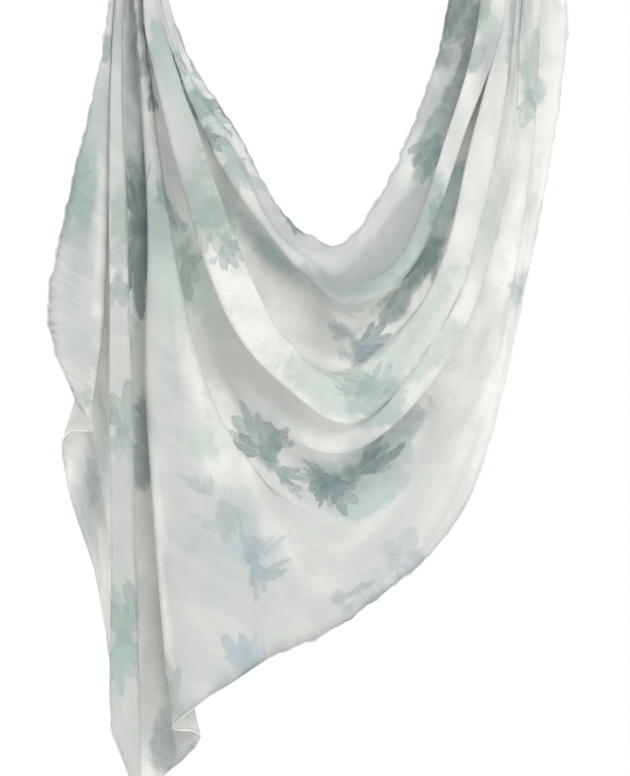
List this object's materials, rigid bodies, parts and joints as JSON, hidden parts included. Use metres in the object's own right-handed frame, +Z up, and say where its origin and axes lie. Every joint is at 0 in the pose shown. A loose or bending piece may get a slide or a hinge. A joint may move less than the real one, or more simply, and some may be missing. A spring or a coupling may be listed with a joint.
{
  "type": "printed chiffon hijab",
  "caption": "Sheer printed rectangular hijab hung as a swag, pinched at one side so that its end falls in a cascade of folds and gathered over a hold at the other.",
  "frame": {"origin": "the pinch on the long neckline edge, at the top of the left side, where the cloth is held up", "axes": "+X to the right along the swag, +Y away from the viewer, through the folds, +Z up"},
  "size_m": [0.5246, 0.1376, 1.026],
  "materials": {
    "printed_chiffon": "sheer matt chiffon, off-white with a watercolour print in sage, teal and blue-grey",
    "rolled_hem": "narrow hand-rolled hem of the same chiffon"
  },
  "bodies": {
    "root": {"swag_cloth": "printed_chiffon", "side_cascade": "printed_chiffon", "tail_cloth": "printed_chiffon", "neckline_hem": "rolled_hem", "lower_hem": "rolled_hem", "side_hem": "rolled_hem", "corner_hem": "rolled_hem", "end_hem": "rolled_hem", "tail_neckline_hem": "rolled_hem", "tail_lower_hem": "rolled_hem", "tail_end_hem": "rolled_hem"}
  },
  "joints": []
}
